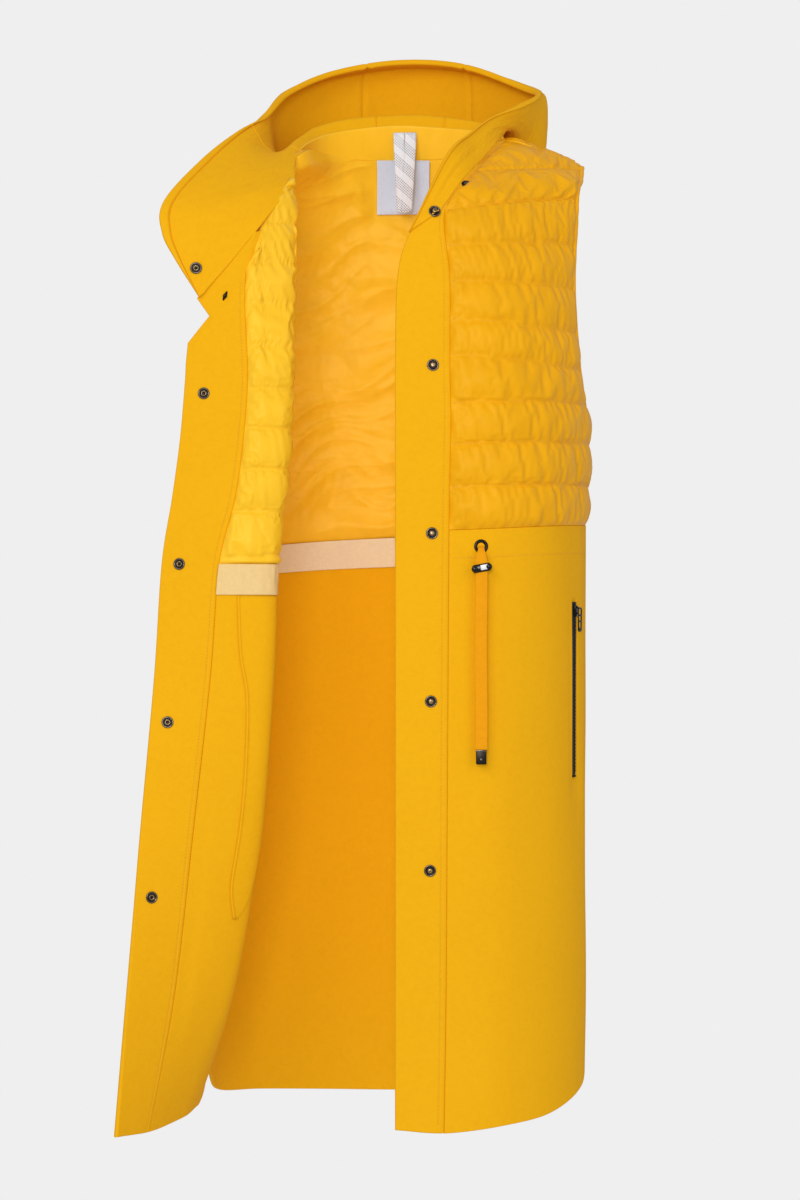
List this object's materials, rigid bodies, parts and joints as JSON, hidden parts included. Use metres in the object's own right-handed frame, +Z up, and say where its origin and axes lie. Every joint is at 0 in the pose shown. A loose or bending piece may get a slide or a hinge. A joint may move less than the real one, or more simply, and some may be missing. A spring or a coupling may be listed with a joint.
{
  "type": "hooded gilet",
  "caption": "Long sleeveless hooded gilet with an open front folded back on one side, quilted bodice, wool skirt, snap plackets, zip pockets and a waist drawcord.",
  "frame": {"origin": "centre of the neck opening at the height of the left neck point", "axes": "+X to the wearer's left, -Y to the front, +Z up"},
  "size_m": [0.4813, 0.373, 1.1324],
  "materials": {
    "wool": "felted wool, matt with fine loose fibres",
    "nylon_shell": "quilted nylon with a soft sheen",
    "lining": "smooth nylon lining, wrinkled, soft sheen",
    "wadding": "white fibre wadding",
    "waist_tape": "beige twill tape",
    "pocketing": "smooth pocket cloth with a bound edge",
    "zip_tape": "woven zip tape with dark teeth",
    "black_metal": "glossy black enamel",
    "snap_metal": "gunmetal with a worn light ring",
    "drawcord": "flat satin ribbon",
    "label": "blank satin label",
    "loop_ribbon": "white ribbon with a dark dot weave"
  },
  "bodies": {
    "root": {"back_shell": "nylon_shell", "back_wadding": "wadding", "back_lining": "lining", "back_skirt": "wool", "back_waist_tape": "waist_tape", "neckband": "wool", "neck_label": "label", "yoke_left": "nylon_shell", "yoke_right": "nylon_shell", "armhole_binding_left": "nylon_shell", "armhole_binding_right": "nylon_shell", "hood_left": "wool", "hood_right": "wool"},
    "hood": {"hood_center": "wool"},
    "loop": {"hanger_loop": "loop_ribbon"},
    "front_left": {"front_left_shell": "nylon_shell", "front_left_wadding": "wadding", "front_left_lining": "lining", "front_left_skirt": "wool", "front_left_placket": "wool", "front_left_waist_tape": "waist_tape", "front_left_pocket_bag": "pocketing", "front_left_zip_tape": "zip_tape", "front_left_snaps": "snap_metal", "front_left_eyelet": "snap_metal", "front_left_hood_end": "wool"},
    "front_right": {"front_right_shell": "nylon_shell", "front_right_wadding": "wadding", "front_right_lining": "lining", "front_right_skirt": "wool", "front_right_placket": "wool", "front_right_waist_tape": "waist_tape", "front_right_pocket_bag": "pocketing", "front_right_zip_tape": "zip_tape", "front_right_snaps": "snap_metal", "front_right_eyelet": "snap_metal", "front_right_hood_end": "wool", "front_right_neckband": "wool", "hood_flap_snap": "snap_metal"},
    "zip_slider_l": {"zip_slider_left": "black_metal"},
    "zip_pull_l": {"zip_pull_left": "black_metal"},
    "zip_slider_r": {"zip_slider_right": "black_metal"},
    "zip_pull_r": {"zip_pull_right": "black_metal"},
    "drawcord": {"drawcord_left": "drawcord", "cord_end_left": "snap_metal"},
    "cord_lock": {"cord_lock_left": "black_metal"}
  },
  "joints": [
    {"name": "front_left_swing", "type": "hinge", "parent": "root", "child": "front_left", "pos_m": [0.199, 0, 0], "axis": [0, 0, 1], "range_deg": [0, 75]},
    {"name": "front_right_swing", "type": "hinge", "parent": "root", "child": "front_right", "pos_m": [-0.203, 0, 0], "axis": [0, 0, -1], "range_deg": [0, 50]},
    {"name": "hood_raise", "type": "hinge", "parent": "root", "child": "hood", "pos_m": [0, 0.1, 0.026], "axis": [1, 0, 0], "range_deg": [0, 80], "deforming": ["hood_left", "hood_right"]},
    {"name": "hanger_loop_swing", "type": "hinge", "parent": "root", "child": "loop", "pos_m": [0.0055, 0.0924, 0.018], "axis": [-1, 0, 0], "range_deg": [0, 150]},
    {"name": "zip_slider_left", "type": "slide", "parent": "front_left", "child": "zip_slider_l", "axis": [0, 0, -1], "range_m": [0, 0.155]},
    {"name": "zip_pull_left", "type": "hinge", "parent": "zip_slider_l", "child": "zip_pull_l", "pos_m": [0.18498, -0.05801, -0.4914], "axis": [-0.4695, -0.8829, 0], "range_deg": [0, 150]},
    {"name": "zip_slider_right", "type": "slide", "parent": "front_right", "child": "zip_slider_r", "axis": [0, 0, -1], "range_m": [0, 0.155]},
    {"name": "zip_pull_right", "type": "hinge", "parent": "zip_slider_r", "child": "zip_pull_r", "pos_m": [-0.1873, -0.06419, -0.4914], "axis": [-0.5299, 0.848, 0], "range_deg": [0, 150]},
    {"name": "drawcord_swing", "type": "hinge", "parent": "front_left", "child": "drawcord", "pos_m": [0.081, -0.137, -0.4295], "axis": [0, -1, 0], "range_deg": [-12, 20]},
    {"name": "cord_lock_slide", "type": "slide", "parent": "drawcord", "child": "cord_lock", "axis": [0, 0, -1], "range_m": [0, 0.165]}
  ]
}
